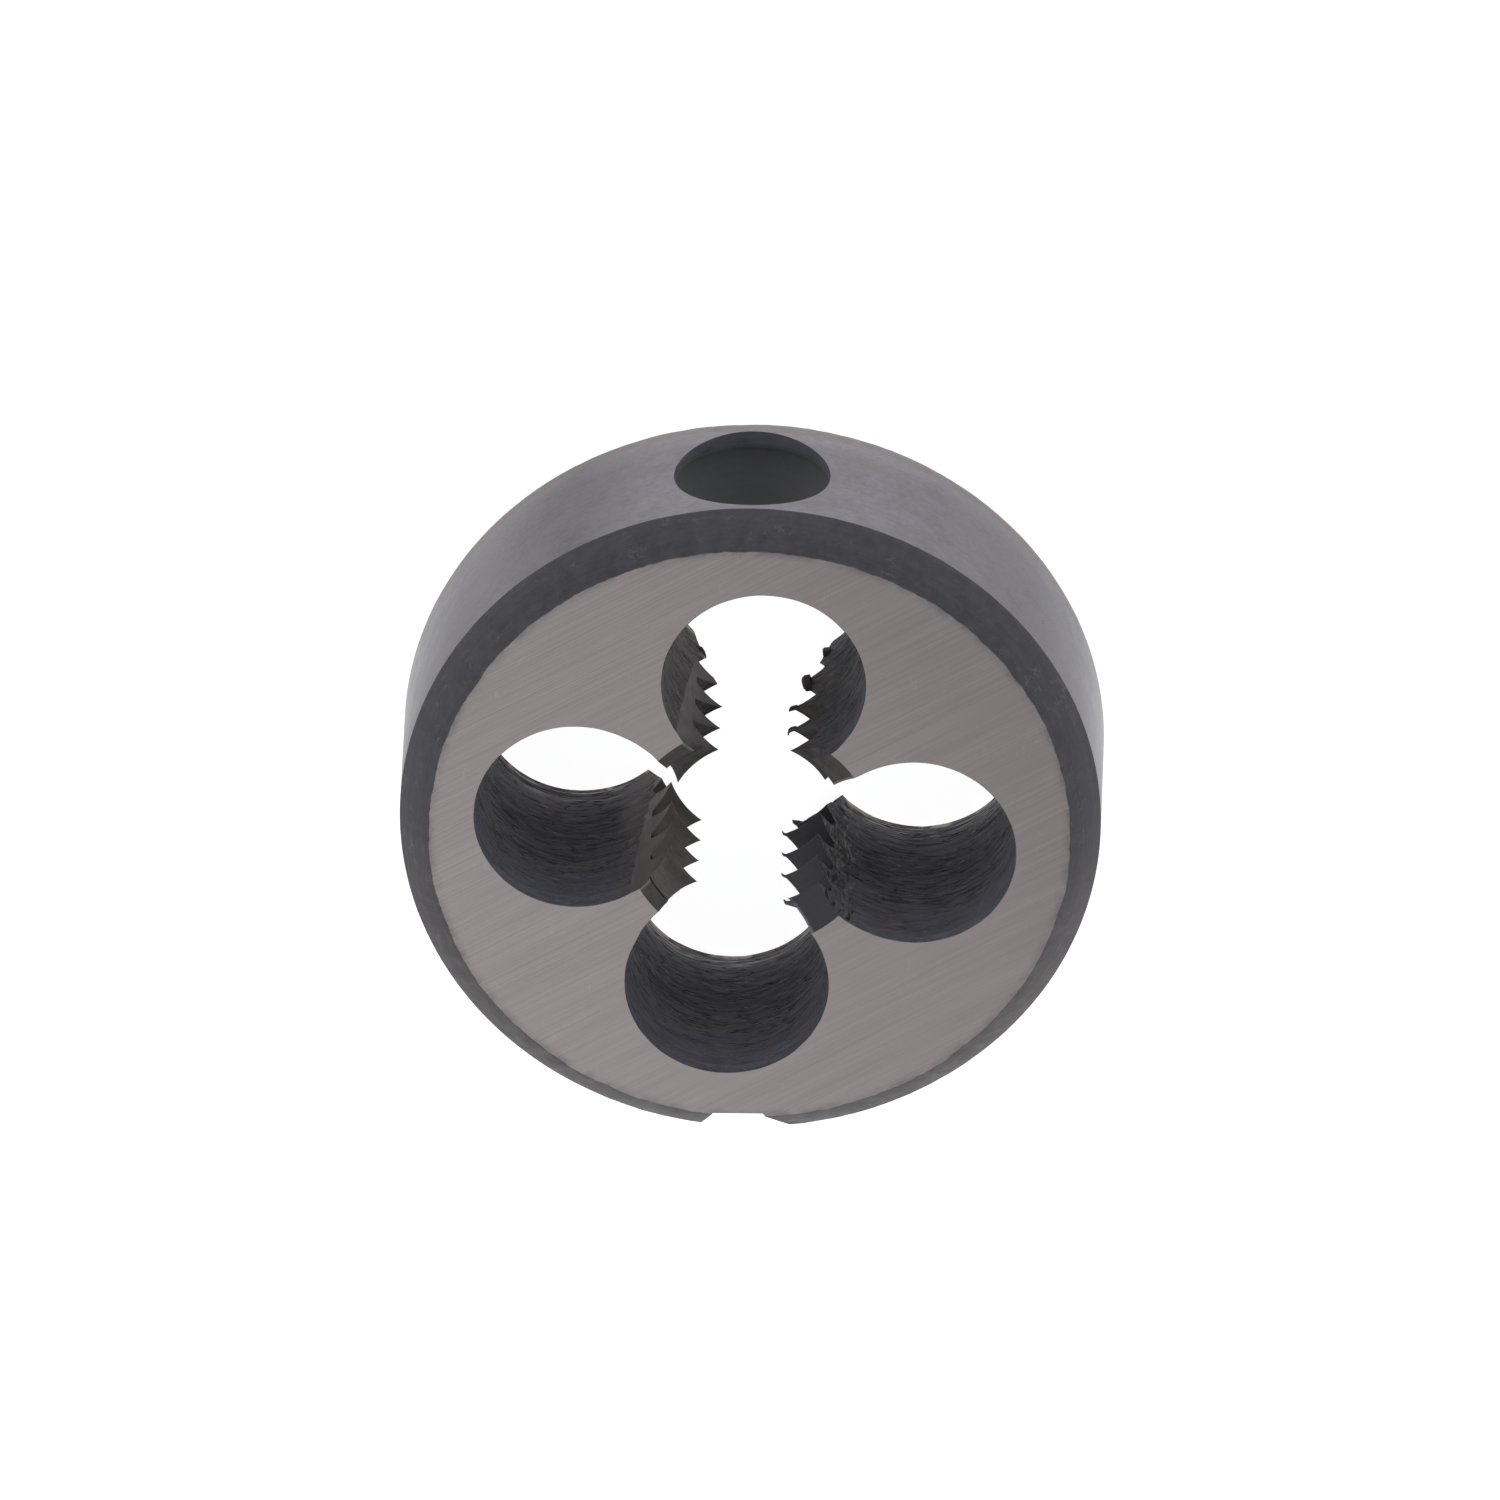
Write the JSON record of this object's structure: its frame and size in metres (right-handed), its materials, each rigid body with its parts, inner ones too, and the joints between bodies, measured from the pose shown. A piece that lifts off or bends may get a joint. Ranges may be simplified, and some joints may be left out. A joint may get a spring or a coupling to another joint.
{
  "type": "round threading die",
  "caption": "Round threading die: a steel disc whose threaded bore is broken by chip holes, with a set screw dimple and a notch in its rim. It cuts an external thread on a rod.",
  "frame": {"origin": "centre of the start face, on the axis of the rim", "axes": "+Z along the die's axis, from the start face, where the work goes in, to the exit face, where it comes out; +Y out of the rim through the set screw dimple; the notch is on -Y"},
  "size_m": [0.02, 0.0199, 0.007],
  "materials": {
    "tool_steel": "hardened tool steel, ground on both faces, dull grey on the rim and dark in the chip holes and thread"
  },
  "bodies": {
    "root": {"threading_die": "tool_steel"}
  },
  "joints": []
}
